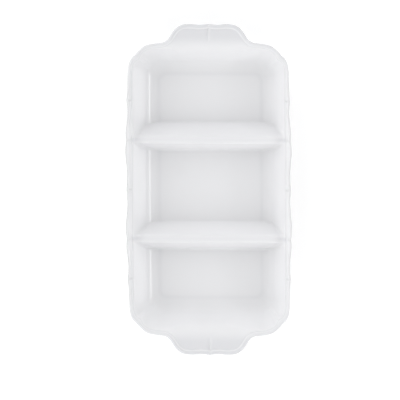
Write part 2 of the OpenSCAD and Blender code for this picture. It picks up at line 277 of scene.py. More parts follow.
class Plan:
    """Lines of the dish in plan and in section, worked out from its sizes."""

    samples = 500  # points on each curve of the outline
    step = 2.4 * MM  # distance between stations along the outline
    pleat_steps = np.arange(-3, 4) * 0.8 * MM  # stations beside a pleat
    ridge_step = 1.0 * MM  # distance between stations along a divider's section
    least_step = 0.55 * MM  # stations that lie closer are thinned out
    section_fine = 400  # points on a divider's section while it is worked out
    section_even = 120  # points on it once it is done
    fullness = 8.0  # of the crest's curve: more is flatter on top and fuller at the shoulders
    digits = 9  # stations that agree to these decimals are one

    def __init__(self, f):
        self.f = f
        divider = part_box("divider_far")
        self.under_half = np.array([top_of("floor_middle").x, top_of("floor_far").y])
        self.top_half = self.under_half + f.wall_run
        self.floor_half = self.top_half - np.array([f.side_run, f.end_run])
        self.top_centre = self.top_half - f.corner_r
        self.wall_z = cad_high.z - f.rim_rise
        self.lip_z = cad_high.z - f.lip_low
        self.crest_y = (divider[0].y + divider[1].y) / 2
        self.base_half = (divider[1].y - divider[0].y) / 2 - f.divider_in
        self.straight = self.crest_y + self.base_half + f.ledge
        self.quarter = self.top_centre.sum() + f.corner_r * math.pi / 2
        self.diagonal = self.top_centre[0] + f.corner_r * math.pi / 4
        rise = self.wall_z - f.floor_z - f.sweep_r
        self.lean = math.acos(f.sweep_r / math.hypot(f.wall_run, rise)) - math.atan2(rise, f.wall_run)
        self.seat_run = f.wall_run - (self.wall_z - f.seat_z) * math.tan(self.lean)
        self.section = self.ridge_section()
        self.draw_edge()
        self.draw_line()
        self.choose_stations()

    def draw_edge(self):
        """The dish's outer edge over a quarter of it."""
        f = self.f
        shoulder = f.half_l - f.handle_reach
        root_share = HANDLE_SHARES[-1]
        root = np.array([f.handle_half * root_share[0], shoulder + f.handle_reach * root_share[1]])
        notch = np.array([f.half_w - f.corner_in, root[1] - f.corner_down])
        point_in = f.wave * END_WAVE_SHARES[0][1]
        point = np.array([f.half_w - point_in, mix(self.crest_y, notch[1], POINT_SHARE)])
        curves = [
            [(f.handle_half * x, shoulder + f.handle_reach * y) for x, y in HANDLE_SHARES],
            [root + (notch - root) * s for s in SHOULDER_SHARES],
            [notch + (point - notch) * s for s in CORNER_SHARES],
            [(f.half_w - f.wave * y, mix(point[1], self.crest_y, x)) for x, y in END_WAVE_SHARES],
            [(f.half_w - f.wave * y, self.crest_y * (1 - x)) for x, y in MIDDLE_WAVE_SHARES],
        ]
        drawn = [curve_through(c, self.samples) for c in curves]
        self.edge = np.vstack([d[:-1] for d in drawn] + [drawn[-1][-1:]])
        self.edge_s = lengths(self.edge)
        self.joins = [k * (self.samples - 1) for k in range(len(curves) + 1)]

    def draw_line(self):
        """The band's inner line, and how far along the wall's top line each point of the edge belongs."""
        f, edge = self.f, self.edge
        behind = np.vstack([edge[1] * [-1, 1], edge[:-1]])
        ahead = np.vstack([edge[1:], edge[-2] * [1, -1]])
        along = unit(ahead - behind)
        outward = np.stack([-along[:, 1], along[:, 0]], 1)
        nearest = self.nearest_top(edge)
        root = self.joins[ROOT]
        band_w = np.linalg.norm(edge[root] - nearest[root]) - f.ledge
        pinch = f.pinch * hump(edge[:, 1] - self.crest_y, f.pinch_w)
        self.line = nearest + unit(edge - nearest) * (f.ledge + pinch)[:, None]
        self.line[:root] = edge[:root] - outward[:root] * band_w
        nearest[:root, 0] = np.maximum.accumulate(self.line[:root, 0])
        nearest[:root, 1] = self.top_half[1]
        self.edge_q = np.maximum.accumulate(self.along_top(nearest)) + np.arange(len(edge)) * TINY

    def nearest_top(self, p):
        """The nearest places on the wall's top line to places outside it."""
        c, half = self.top_centre, self.top_half
        past_end = np.stack([p[:, 0], np.full(len(p), half[1])], 1)
        past_side = np.stack([np.full(len(p), half[0]), p[:, 1]], 1)
        past_corner = c + self.f.corner_r * unit(p - c)
        return np.where(p[:, :1] <= c[0], past_end, np.where(p[:, 1:] <= c[1], past_side, past_corner))

    def along_top(self, p):
        """Distance of places on the wall's top line from the middle of the far end."""
        c = self.top_centre
        turned = np.arctan2(np.maximum(p[:, 0] - c[0], 0), np.maximum(p[:, 1] - c[1], TINY))
        arc = self.f.corner_r * np.where(p[:, 1] > c[1], turned, math.pi / 2)
        return np.minimum(p[:, 0], c[0]) + arc + np.maximum(c[1] - p[:, 1], 0)

    def ridge_section(self):
        """Half of a divider's section, from crest to foot: distance out, and height over the floor."""
        f, n = self.f, self.fullness
        rise = f.crest_z - f.floor_z

        def bend(d):
            return (d**n + f.crest_half**n) ** (1 / n) - f.crest_half

        out = np.linspace(0, self.base_half, self.section_fine)
        up = rise - rise / bend(self.base_half - f.divider_r) * bend(out)
        weld = -up[-1]
        up = np.maximum(up, 0) + np.maximum(weld - np.abs(up), 0) ** 2 / (4 * weld)
        s = lengths(np.column_stack([out, up]))
        even = np.linspace(0, s[-1], self.section_even)
        return np.interp(even, s, out), np.interp(even, s, up)

    def choose_stations(self):
        """Stations along the wall's top line, close enough for the outline, the pleats and the dividers."""
        stops = [self.edge_s[join] for join in self.joins]
        wanted = [evenly(a, b, self.step) for a, b in zip(stops, stops[1:])]
        wanted = np.concatenate(wanted + [stops[i] + self.pleat_steps for i in PLEATS])
        wanted = wanted[(wanted >= 0) & (wanted <= stops[-1])]
        q = np.interp(wanted, self.edge_s, self.edge_q)
        q = q[np.abs(self.quarter - q - self.crest_y) > self.base_half]
        out, up = self.section
        s = lengths(np.column_stack([out, up]))
        d = np.interp(evenly(0, s[-1], self.ridge_step), s, out)
        ridge_y = np.concatenate([self.crest_y + d, self.crest_y - d])
        q = np.unique(np.concatenate([q, self.quarter - ridge_y, [0, self.diagonal, self.quarter]]))
        joins = np.interp(stops, self.edge_s, self.edge_q)
        needed = {round(v, self.digits) for v in (0, self.diagonal, self.quarter, *joins)}
        keep = [q[0]]
        for v in q[1:]:
            if v - keep[-1] > self.least_step:
                keep.append(v)
            elif round(v, self.digits) in needed:
                keep[-1] = v
        q = np.array(keep)
        self.across_q = q[q <= self.diagonal + TINY]
        self.along_q = q[q >= self.diagonal - TINY]

    def rectangle(self, half, r):
        """Grid lines over a rounded rectangle: places across and along, before its corners are rounded."""
        c, big, x, y = half - r, self.top_centre, self.across_q, self.quarter - self.along_q
        past_x = np.sin(np.maximum(x - big[0], 0) / self.f.corner_r)
        past_y = np.sin(np.maximum(y - big[1], 0) / self.f.corner_r)
        xs = np.where(x <= big[0], x * c[0] / big[0], c[0] + r * math.sqrt(2) * past_x)
        stretch = (c[1] - self.straight) / (big[1] - self.straight)
        inner = np.where(y <= self.straight, y, self.straight + (y - self.straight) * stretch)
        ys = np.where(y <= big[1], inner, c[1] + r * math.sqrt(2) * past_y)
        return np.concatenate([-xs[:0:-1], xs]), np.concatenate([-ys, ys[-2::-1]])

    def rounded(self, x, y, half, r):
        """Rounds a rectangle's corners, so that its corner squares become quarter discs."""
        c = half - r
        a = np.clip((np.abs(x) - c[0]) / r, 0, 1)
        b = np.clip((np.abs(y) - c[1]) / r, 0, 1)
        in_corner = (a > 0) & (b > 0)
        px = np.where(in_corner, np.sign(x) * (c[0] + r * a * np.sqrt(1 - b * b / 2)), x)
        py = np.where(in_corner, np.sign(y) * (c[1] + r * b * np.sqrt(1 - a * a / 2)), y)
        return px, py


class Dish:
    """Rows of places for the mesh: each row goes once round the dish, station by station."""

    # Painted shade, where shade falls in hollows and creases, along lines and edges and on the handles: 1 is
    # its full strength in the shaded grey, 0 is none, and below 0 it is the darker grey over an edge
    weld_shade = 0.06  # in the weld between a divider and a wall
    crest_shade = 0.4  # on the dividers' crests
    crest_end_shade = 0.8  # how much more at the crests' ends
    base_shade = 0.35  # at the dividers' feet, as a share of the painted shade along the walls
    line_shade = 1.1  # along the band's inner line
    line_end_shade = 0.9  # how much more round the ends
    line_handle_lighter = 1.2  # how much less on the handles
    step_end_shade = 0.8  # how much more on the step round the ends, and less on the handles
    band_end_shade = 0.45  # on the band round the ends
    fold_shade = 0.6  # how much less on a pleat, which brings the darker grey there
    crease_shade = 0.8  # how much less on the fold of the crease, and more in its valley
    lip_shade = (1.1, 1.9)  # painted shade over the lip's edge, in the darker grey, on the right and on the left
    lip_end_shade = 0.2  # how much more on the lip than on the band, round the ends
    # Hollows under the dividers
    hollow_out = 0.9  # the hollow's slopes lie this many thicknesses inside the divider's
    hollow_down = 0.4  # and this many lower
    hollow_gap = 3 * MM  # from the foot to a hollow's end
    hollow_slope = 6 * MM  # length of a hollow's end
    # Rounding of the bare tread: its middle lies this share of it in and up
    tread_round = 0.3
    # Rows from one form to the next
    sweep_rows = 12
    wall_rows = 7
    round_rows = 8
    under_rim_rows = 9
    under_wall_rows = 8
    # Where the painted shade changes
    crest_w = 0.6  # width of the painted shade on a crest, in half widths of the crest
    handle_shade_from = 0.64  # the painted shade on a handle is full past this share of its reach
    band_full = 0.4  # and on the band past this share of its width
    lip_change = 0.5  # over this share of the half width, the lip's painted shade goes from the left's to the right's
    # Crease, step and band
    crease_rise = 0.5  # height of the crease's fold, in heights of a pleat
    crease_valley = -0.7 * MM  # from the middle of a handle across to the crease's valley
    crease_fold = 0.8 * MM  # and to its fold
    crease_fade = 3.0  # it fades out over its last part, its length over this
    step_foot = 0.06  # the ledge ends this share of the step's height over the wall's top line
    fold_start = 0.6  # share of a pleat's height that it has where it crosses the step
    band_bulge = 1.74  # power of the band's curve: more is fuller
    # Rounding over the wall, welds and the outside
    round_share = 0.58  # most of the level top that the rounding over the wall may take
    round_down = 0.9  # how far that rounding reaches down the wall, in its own width
    least_down = 2.5 * MM  # and at least this far
    most_down = 0.8  # and at most this share of the wall's slope
    weld_top = 7 * MM  # the weld narrows over this height below the wall's top line
    weld_least = 0.05  # to this share of its depth
    lip_turn = 3.4  # the outside turns in under the lip over this many lip radii
    eased_past = 5  # rows past the rim's root that are eased with it
    easings = 10

    def __init__(self, plan):
        self.p, self.f = plan, plan.f
        nx, ny = 2 * len(plan.across_q) - 1, 2 * len(plan.along_q) - 1
        self.nx, self.ny = nx, ny
        self.ring = ([(j, ny - 1) for j in range(nx)] + [(nx - 1, k) for k in range(ny - 2, -1, -1)]
                     + [(j, 0) for j in range(nx - 2, -1, -1)] + [(0, k) for k in range(1, ny - 1)])
        self.station = {jk: i for i, jk in enumerate(self.ring)}
        across, along = plan.across_q, plan.along_q[::-1]
        self.q = np.array([
            across[abs(j - nx // 2)] if k in (0, ny - 1) else along[abs(k - ny // 2)] for j, k in self.ring
        ])
        self.sign = np.array([(1 if j >= nx // 2 else -1, 1 if k >= ny // 2 else -1) for j, k in self.ring])
        self.s = np.interp(self.q, plan.edge_q, plan.edge_s)
        self.edge = self.look_up(plan.edge)
        self.line = self.look_up(plan.line)
        self.top = self.outline_of(plan.top_half, self.f.corner_r)
        self.floor = self.outline_of(plan.floor_half, self.f.floor_r)
        self.under = self.outline_of(plan.under_half, self.f.under_r)
        stops = [plan.edge_s[join] for join in plan.joins]
        dip = self.f.dimple * hump(self.s - stops[NOTCH], self.f.dimple_w)
        inward = unit(self.top - self.edge) * dip[:, None]
        self.top, self.line = self.top + inward, self.line + inward
        self.at_end = smooth((stops[POINT] - self.s) / (stops[POINT] - stops[NOTCH]))
        self.fold = sum(strong * hump(self.s - stops[i], self.f.pleat_w) for i, strong in PLEATS.items())
        self.rows, self.depth, self.marks = [], [], {}
        self.inner_wall()
        self.rim()
        self.underside()
        self.foot()

    def look_up(self, table):
        """Places of a line of the plan at the stations, on all four quarters."""
        p = np.stack([np.interp(self.q, self.p.edge_q, table[:, k]) for k in (0, 1)], 1)
        return p * self.sign

    def outline_of(self, half, r):
        """Places on a rounded rectangle at the stations."""
        xs, ys = self.p.rectangle(half, r)
        x = np.array([xs[j] for j, k in self.ring])
        y = np.array([ys[k] for j, k in self.ring])
        return np.stack(self.p.rounded(x, y, half, r), 1)

    def ridge(self, y):
        """Height of the dividers over the floor."""
        out, up = self.p.section
        return np.interp(np.abs(np.abs(y) - self.p.crest_y), out, up, right=0)

    def floor_height(self, x, y):
        """Height of the floors, and of the dividers that stand on them."""
        return self.ridge(y) + self.f.floor_z

    def bottom_height(self, x, y):
        """Height of the underside's flat, and of the hollows that rise from it under the dividers."""
        f = self.f
        out, up = self.p.section
        d = np.abs(np.abs(y) - self.p.crest_y) + f.thick * self.hollow_out
        height = np.maximum(np.interp(d, out, up, right=0) - f.thick * self.hollow_down, 0)
        end = f.foot_half_w - f.foot_w - self.hollow_gap
        return height * smooth((end - np.abs(x)) / self.hollow_slope) + f.foot_h

    def level(self, z):
        """A height, or any other value, at every station."""
        return np.broadcast_to(np.asarray(z, float), (len(self.q),))

    def add(self, xy, z, depth=0.0):
        """A row of places, with how much painted shade lies on it."""
        self.rows.append(np.column_stack([xy, self.level(z)]))
        self.depth.append(self.level(depth))

    def add_inside(self, xy, z, depth=0.0):
        """A row inside the bowl, lifted where a divider stands."""
        f = self.f
        over = np.maximum(self.level(z) - f.floor_z, 0)
        ridge = self.ridge(xy[:, 1])
        below_top = smooth((self.p.wall_z - f.floor_z - over) / self.weld_top)
        weld = f.weld * mix(self.weld_least, 1, below_top)
        near = smooth(1 - np.abs(over - ridge) / f.weld) * smooth(ridge / f.weld)
        # Painted shade in the weld between a divider and a wall, and on the crests
        shade_amount = depth + self.weld_shade * near + self.on_crest(xy)
        self.add(xy, f.floor_z + soft_max(over, ridge, weld), shade_amount)

    def mark(self, name):
        """Remembers the last row by a name."""
        self.marks[name] = len(self.rows) - 1

    def inner_wall(self):
        """The inside of the walls: a sweep from the floor, then a straight slope nearly to the top line."""
        f, p = self.f, self.p
        run = np.linalg.norm(self.top - self.floor, axis=1)
        r = np.interp(run, [f.side_run, f.end_run], [f.side_sweep, f.end_sweep])
        rise = p.wall_z - f.floor_z
        turn = math.pi / 2 - np.arccos(r / np.hypot(run, rise - r)) + np.arctan2(rise - r, run)
        for t in shares(self.sweep_rows):
            a = turn * t
            xy = mix(self.floor, self.top, (r * np.sin(a) / run)[:, None])
            # Painted shade along the foot of the sweep, where the floor meets the wall, less where a divider
            # stands
            shade_amount = f.pool * hump(r * a, f.shade_w) * hump(self.ridge(xy[:, 1]), f.shade_w)
            self.add_inside(xy, f.floor_z + r * (1 - np.cos(a)), shade_amount)
        self.sweep_end = np.column_stack([xy, f.floor_z + r * (1 - np.cos(turn))])
        self.top_end = np.column_stack([self.top, self.level(p.wall_z)])
        flat = np.linalg.norm(self.line - self.top, axis=1)[:, None]
        slant = np.linalg.norm(self.top_end - self.sweep_end, axis=1)[:, None]
        self.round_off = np.minimum(f.handle_round, flat * self.round_share)
        down = np.maximum(self.round_off * self.round_down, self.least_down)
        self.top_share = 1 - np.minimum(self.most_down, down / slant)
        for t in shares(self.wall_rows):
            place = mix(self.sweep_end, self.top_end, t * self.top_share)
            self.add_inside(place[:, :2], place[:, 2])
        self.mark("wall_end")

    def rim(self):
        """The rim: out of the wall, level to the band's inner line, over the step and up to the lip."""
        self.out = unit(self.edge - self.line)
        self.band_w = np.linalg.norm(self.edge - self.line, axis=1)[:, None]
        # Painted shade on the handles and, round the ends, on the band
        self.on_handle = self.handle_shade(self.line)
        self.on_band = np.maximum(self.band_end_shade * self.at_end, self.on_handle)
        self.pleats = self.fold * self.f.pleat_h
        self.crown = self.p.lip_z - self.p.wall_z - self.f.end_drop * self.at_end
        self.flat_top()
        self.step()
        self.band()
        self.lip()
        self.mark("under_lip")

    def flat_top(self):
        """The wall's top rounds outward and runs level, with the crease running in from the handle's tip."""
        f, p = self.f, self.p
        top = self.top_end
        down = mix(self.sweep_end, top, self.top_share)
        away = np.column_stack([unit(self.line - self.top), self.level(0)])
        start = top + away * self.round_off
        for t in shares(self.round_rows):
            place = down * (1 - t) ** 2 + top * 2 * t * (1 - t) + start * t**2
            # Painted shade on the handles' rounding and level top
            self.add_inside(place[:, :2], place[:, 2], self.handle_shade(place))
        for t in FLAT_ROWS:
            xy = mix(start[:, :2], self.line, t)
            self.add(xy, p.wall_z + self.crease_lift(xy), self.handle_shade(xy))
        # Painted shade: a dark line along the band's inner line, more round the ends and less on the handles
        shade_amount = self.line_shade + self.line_end_shade * self.at_end - self.line_handle_lighter * self.on_handle
        self.add(self.line, p.wall_z + self.step_foot * f.step_h + self.crease_lift(self.line), shade_amount)

    def step(self):
        """The small step from the band's inner line up to the band."""
        f = self.f
        # Painted shade on the step round the ends, less on the handles, and the darker grey on the pleats
        end = self.step_end_shade * (self.at_end - self.on_handle)
        for across, up, shade_amount in STEP_ROWS:
            xy = self.line + self.out * f.step_h * across
            lift = self.pleats * self.fold_start * up + self.crease_lift(xy) * (1 - up)
            darker = self.fold_shade * self.fold * up
            self.add(xy, self.p.wall_z + f.step_h * up + lift, shade_amount + end * (1 - up) - darker)

    def band(self):
        """The raised band, which rises in a full curve to the lip."""
        f = self.f
        first, last = STEP_ROWS[-1][0] * f.step_h / self.band_w, 1 - f.lip_r / self.band_w
        for t in BAND_ROWS:
            xy = self.line + self.out * self.band_w * mix(first, last, t)
            up = 1 - (1 - t) ** self.band_bulge
            z = self.p.wall_z + mix(f.step_h, self.crown, up) + self.pleats * mix(self.fold_start, 1, t)
            # Painted shade on the band round the ends and on the handles, and the darker grey on the pleats
            self.add(xy, z, self.on_band * smooth(t / self.band_full) - self.fold_shade * self.fold)

    def lip(self):
        """The lip's rounded edge, from its crown outward and under."""
        f = self.f
        for a in np.radians(LIP_ANGLES):
            xy = self.edge - self.out * f.lip_r * (1 - math.sin(a))
            z = self.p.wall_z + self.crown - f.lip_r * (1 - math.cos(a)) + self.pleats * max(0, math.cos(a))
            # Painted shade along the lip's edge in the darker grey, heavier on the left, and round the ends
            # the shaded grey of the band
            on_left = smooth(0.5 - xy[:, 0] / (self.lip_change * f.half_w))
            darker = mix(*self.lip_shade, on_left) * math.sin(a)
            self.add(xy, z, mix(-darker, self.on_band + self.lip_end_shade, self.at_end))

    def on_crest(self, places):
        """Painted shade on the flat crests of the dividers: more at their ends, by the walls."""
        f, p = self.f, self.p
        crest = hump(np.abs(places[..., 1]) - p.crest_y, self.crest_w * f.crest_half)
        end = smooth((np.abs(places[..., 0]) - p.top_half[0] + f.crest_shade_reach) / f.crest_shade_reach)
        return crest * (self.crest_shade + self.crest_end_shade * end)

    def shaded(self, places):
        """Painted shade on floors and dividers: along the walls and the dividers' feet, where shade falls, and
        on the crests.
        """
        f, p = self.f, self.p
        past = np.abs(places[..., :2]) - (p.floor_half - f.floor_r)
        outside = np.linalg.norm(np.maximum(past, 0), axis=-1)
        from_wall = f.floor_r - outside - np.minimum(past.max(-1), 0)
        from_base = np.abs(np.abs(places[..., 1]) - p.crest_y) - p.base_half
        on_floor = places[..., 2] - f.floor_z < f.shade_w
        shade_amount = hump(from_wall, f.shade_w) * on_floor + self.base_shade * hump(from_base, f.shade_w)
        return f.pool * np.minimum(shade_amount, 1) + self.on_crest(places) * ~on_floor

    def even(self, places):
        """No painted shade: zero everywhere."""
        return np.zeros(places.shape[:2])

    def handle_shade(self, xy):
        """Painted shade on the handles, where the light falls off towards the ends: more towards the tips,
        with the crease's painted shade.
        """
        past = np.abs(xy[:, 1]) - self.p.top_half[1]
        thick = smooth(past / (self.handle_shade_from * self.f.handle_reach))
        return thick - self.crease_shade * self.crease_shape(xy)

    def crease_shape(self, xy):
        """The crease on the handles, from -1 in its shallow valley to 1 on the small fold beside it."""
        inward = (self.f.half_l - np.abs(xy[:, 1])) / self.f.crease
        valley = hump(xy[:, 0] - self.crease_valley, self.f.crease_w)
        fold = hump(xy[:, 0] - self.crease_fold, self.f.crease_w)
        return (fold - valley) * smooth(self.crease_fade * (1 - inward))

    def crease_lift(self, xy):
        """Height of the crease over the level top of the handles."""
        return self.crease_rise * self.f.pleat_h * self.crease_shape(xy)

    def on_wall(self, run, up):
        """A place outside the wall: level distance from the underside's flat, and height over the floor."""
        return mix(self.under, self.top, run / self.f.wall_run), self.f.floor_z + up

    def underside(self):
        """The outside: in from the lip to the rim's root, down the wall and round its sweep to the flat."""
        f, p = self.f, self.p
        lip = self.rows[-1]
        root_run, root_up = p.seat_run + f.thick / math.cos(p.lean), f.seat_z - f.floor_z
        root = self.on_wall(root_run, root_up)[0]
        reach = np.linalg.norm(lip[:, :2] - root, axis=1)
        for t in shares(self.under_rim_rows):
            turned = smooth(1 - t * reach / (self.lip_turn * f.lip_r))
            self.add(mix(lip[:, :2], root, t), mix(f.seat_z, lip[:, 2], turned))
        self.mark("root")
        turn, big = math.pi / 2 - p.lean, f.sweep_r + f.thick
        run, up = big * math.sin(turn), f.sweep_r - big * math.cos(turn)
        for t in shares(self.under_wall_rows):
            self.add(*self.on_wall(mix(root_run, run, t), mix(root_up, up, t)))
        for t in shares(self.under_wall_rows):
            a = turn * (1 - t)
            self.add(*self.on_wall(big * math.sin(a), f.sweep_r - big * math.cos(a)))
        self.ease(self.marks["under_lip"] + 1, self.marks["root"] + self.eased_past)

    def ease(self, first, last):
        """Rounds the corners between rows by letting each settle between its neighbours."""
        for _ in range(self.easings):
            old = [r.copy() for r in self.rows]
            for i in range(first, last):
                self.rows[i] = old[i] * 0.5 + (old[i - 1] + old[i + 1]) * 0.25

    def foot(self):
        """The glazed foot ring, with a small fillet on both sides, and the bare tread that it holds."""
        f = self.f
        half = np.array([f.foot_half_w, f.foot_half_l])
        r = f.under_r - (self.p.under_half[0] - f.foot_half_w)
        e, w, glaze = f.foot_edge, f.foot_w, f.glaze_t
        nick = self.tread_round * e

        def around(inset, z):
            return self.outline_of(half - inset, r - inset), z

        # Painted shade in the fillets on both sides of the foot ring
        for out, down, shade_amount in FOOT_FILLET:
            self.add(*around(-out * e, f.foot_h - down * e), shade_amount)
        for inset, up in ((0, glaze), (glaze, 0), (w - glaze, 0), (w, glaze)):
            self.add(*around(inset, f.bare_h + up))
        for out, down, shade_amount in reversed(FOOT_FILLET):
            self.add(*around(w + out * e, f.foot_h - down * e), shade_amount)
        inside = w + FOOT_FILLET[0][0] * e
        self.bottom_half, self.bottom_r = half - inside, r - inside
        g, top = 2 * glaze, f.bare_h + f.bare_in
        side = [(g, top), (g, e), (g + nick, nick), (g + e, 0)]
        section = side + [(w / 2, 0)] + [(w - inset, z) for inset, z in reversed(side)]
        self.tread = [np.column_stack([xy, self.level(z)]) for xy, z in (around(*place) for place in section)]


form = {}  # the dish's rows and its two pieces, from one operator to the next


def only(obj):
    """Makes one object the only one selected, and the active one."""
    if bpy.context.object and bpy.context.object.mode != "OBJECT":
        bpy.ops.object.mode_set(mode="OBJECT")
    bpy.ops.object.select_all(action="DESELECT")
    obj.select_set(True)
    bpy.context.view_layer.objects.active = obj


def layers(bm):
    """Vertex layers that say at which station a vertex lies, and how much painted shade lies on it."""
    ints, floats = bm.verts.layers.int, bm.verts.layers.float
    return ints.get("station") or ints.new("station"), floats.get("painted_shade") or floats.new("painted_shade")


def add_grid(dish):
    """Adds a grid that spans -1 to 1 m, with a line for each station across and along."""
    bpy.ops.mesh.primitive_grid_add(x_subdivisions=dish.nx - 1, y_subdivisions=dish.ny - 1, size=2)


def place_grid(mesh, dish, half, r, height, glaze):
    """Lays the new grid, still selected, over a rounded rectangle, and leaves only its edge selected.

    Height and glaze are functions: they give its heights, and how much painted shade lies on it.
    """
    xs, ys = dish.p.rectangle(half, r)
    x, y = np.meshgrid(xs, ys, indexing="ij")
    x, y = dish.p.rounded(x, y, half, r)
    places = np.stack([x, y, height(x, y)], -1)
    depth = glaze(places)
    bm = bmesh.from_edit_mesh(mesh)
    station, shade_layer = layers(bm)
    for v in [v for v in bm.verts if v.select]:
        j = round((v.co.x + 1) / 2 * (dish.nx - 1))
        k = round((v.co.y + 1) / 2 * (dish.ny - 1))
        v.co = places[j, k]
        v[station] = dish.station.get((j, k), -1)
        v[shade_layer] = depth[j, k]
        v.select = v[station] >= 0
    bm.select_flush_mode()
    bmesh.update_edit_mesh(mesh)


def select_open(mesh):
    """Selects the open edges of a mesh in edit mode, and nothing else."""
    bm = bmesh.from_edit_mesh(mesh)
    for e in bm.edges:
        e.select = e.is_boundary
    bm.select_flush_mode()
    bmesh.update_edit_mesh(mesh)


def grow_row(mesh, dish, row):
    """Extrudes the selected edges once round the dish and puts the new row in its place."""
    bpy.ops.mesh.extrude_edges_move()
    bm = bmesh.from_edit_mesh(mesh)
    station, shade_layer = layers(bm)
    for v in bm.verts:
        if v.select:
            v.co = dish.rows[row][v[station]]
            v[shade_layer] = dish.depth[row][v[station]]
    bmesh.update_edit_mesh(mesh, loop_triangles=False, destructive=False)


def grow(first, last):
    """Extrudes the form's open edge once for each of some rows."""
    body = form["body"]
    if body.mode != "EDIT":
        only(body)
        bpy.ops.object.mode_set(mode="EDIT")
    for row in range(first, last + 1):
        grow_row(body.data, form["dish"], row)
    bpy.ops.object.mode_set(mode="OBJECT")


class DISH_OT_bowl(bpy.types.Operator):
    """Model the floors, the dividers and the inside of the walls"""

    bl_idname = "dish.bowl"
    bl_label = "Bowl and dividers"

    def execute(self, context):
        dish = form["dish"] = Dish(Plan(context.scene.dish_form))
        bpy.ops.object.select_all(action="DESELECT")
        add_grid(dish)
        body = form["body"] = context.object
        body.name = body.data.name = "dish_body"
        bpy.ops.object.mode_set(mode="EDIT")
        bpy.ops.mesh.select_mode(type="VERT")
        bpy.ops.mesh.select_all(action="SELECT")
        place_grid(body.data, dish, dish.p.floor_half, dish.f.floor_r, dish.floor_height, dish.shaded)
        bpy.ops.mesh.select_mode(type="EDGE")
        select_open(body.data)
        grow(0, dish.marks["wall_end"])
        return {"FINISHED"}


class DISH_OT_rim(bpy.types.Operator):
    """Grow the handles, the step and the raised band out of the walls, and round the lip"""

    bl_idname = "dish.rim"
    bl_label = "Rim and handles"

    def execute(self, context):
        grow(form["dish"].marks["wall_end"] + 1, form["dish"].marks["under_lip"])
        return {"FINISHED"}


class DISH_OT_underside(bpy.types.Operator):
    """Model the outside of the walls, the foot ring and the hollow underside, and close the form"""

    bl_idname = "dish.underside"
    bl_label = "Underside and foot"

    def execute(self, context):
        dish, body = form["dish"], form["body"]
        grow(dish.marks["under_lip"] + 1, len(dish.rows) - 1)
        only(body)
        bpy.ops.object.mode_set(mode="EDIT")
        bpy.ops.mesh.select_all(action="DESELECT")
        bpy.ops.mesh.select_mode(type="VERT")
        add_grid(dish)
        place_grid(body.data, dish, dish.bottom_half, dish.bottom_r, dish.bottom_height, dish.even)
        bpy.ops.mesh.select_all(action="SELECT")
        bpy.ops.mesh.remove_doubles(threshold=MERGE_GAP)
        bpy.ops.mesh.normals_make_consistent(inside=False)
        bpy.ops.object.mode_set(mode="OBJECT")
        bpy.ops.object.shade_smooth()
        return {"FINISHED"}


class DISH_OT_foot(bpy.types.Operator):
    """Model the bare tread of the foot ring"""

    bl_idname = "dish.foot"
    bl_label = "Bare foot"

    def execute(self, context):
        dish = form["dish"]
        bpy.ops.object.select_all(action="DESELECT")
        bpy.ops.mesh.primitive_circle_add(vertices=len(dish.ring), radius=1)
        foot = form["foot"] = context.object
        foot.name = foot.data.name = "dish_foot"
        bpy.ops.object.mode_set(mode="EDIT")
        bpy.ops.mesh.select_mode(type="EDGE")
        bpy.ops.mesh.select_all(action="SELECT")
        for row, places in enumerate(dish.tread):
            if row:
                bpy.ops.mesh.extrude_edges_move()
            bm = bmesh.from_edit_mesh(foot.data)
            station = bm.verts.layers.int.get("station") or bm.verts.layers.int.new("station")
            for v in bm.verts:
                if not row:
                    v[station] = v.index
                if v.select:
                    v.co = places[v[station]]
            bmesh.update_edit_mesh(foot.data)
        select_open(foot.data)
        bpy.ops.mesh.bridge_edge_loops()
        bpy.ops.mesh.select_all(action="SELECT")
        bpy.ops.mesh.normals_make_consistent(inside=False)
        bpy.ops.object.mode_set(mode="OBJECT")
        bpy.ops.object.shade_smooth_by_angle(angle=FOOT_SMOOTH)
        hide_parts(*[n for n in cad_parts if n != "foot_ring"])
        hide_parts("foot_ring")
        return {"FINISHED"}


class Socket:
    """A node's output, with the sums that the materials use."""

    def __init__(self, maths, link):
        self.maths, self.link = maths, link

    def sum(self, operation, *values):
        """The output of a Math node."""
        return self.maths.node("ShaderNodeMath", {"operation": operation}, dict(enumerate(values)))

    def __add__(self, other):
        return self.sum("ADD", self, other)

    def __radd__(self, other):
        return self.sum("ADD", other, self)

    def __sub__(self, other):
        return self.sum("SUBTRACT", self, other)

    def __rsub__(self, other):
        return self.sum("SUBTRACT", other, self)

    def __mul__(self, other):
        return self.sum("MULTIPLY", self, other)

    def __rmul__(self, other):
        return self.sum("MULTIPLY", other, self)

    def clamp(self):
        """The value, held between 0 and 1."""
        return self.maths.node("ShaderNodeClamp", {}, {"Value": self})


class Shader:
    """The node tree of a material or of the world, built by one call for each node."""

    def __init__(self, owner):
        self.owner = owner
        owner.use_nodes = True
        self.tree = owner.node_tree
        self.tree.nodes.clear()

    def node(self, kind, settings, inputs, output=0):
        """The output of a new node: its type, its settings, and the values or links of its sockets."""
        made = self.tree.nodes.new(kind)
        for name, value in settings.items():
            setattr(made, name, value)
        for name, value in inputs.items():
            if isinstance(value, Socket):
                self.tree.links.new(value.link, made.inputs[name])
            else:
                made.inputs[name].default_value = value
        return Socket(self, made.outputs[output]) if made.outputs else None

    def colours(self, a, b, share):
        """Two colours mixed by a share."""
        return self.node("ShaderNodeMix", {"data_type": "RGBA"}, {"Factor": share, "A": a, "B": b}, "Result")

    def noise(self, where, scale, detail=2.0, roughness=0.5):
        """Soft noise from 0 to 1. The scale is in waves per metre."""
        inputs = {"Vector": where, "Scale": scale, "Detail": detail, "Roughness": roughness}
        return self.node("ShaderNodeTexNoise", {}, inputs)

    def finish(self, surface):
        """Joins the surface to the output, and gives back the material or the world."""
        kind = "World" if isinstance(self.owner, bpy.types.World) else "Material"
        self.node("ShaderNodeOutput" + kind, {}, {"Surface": surface})
        return self.owner


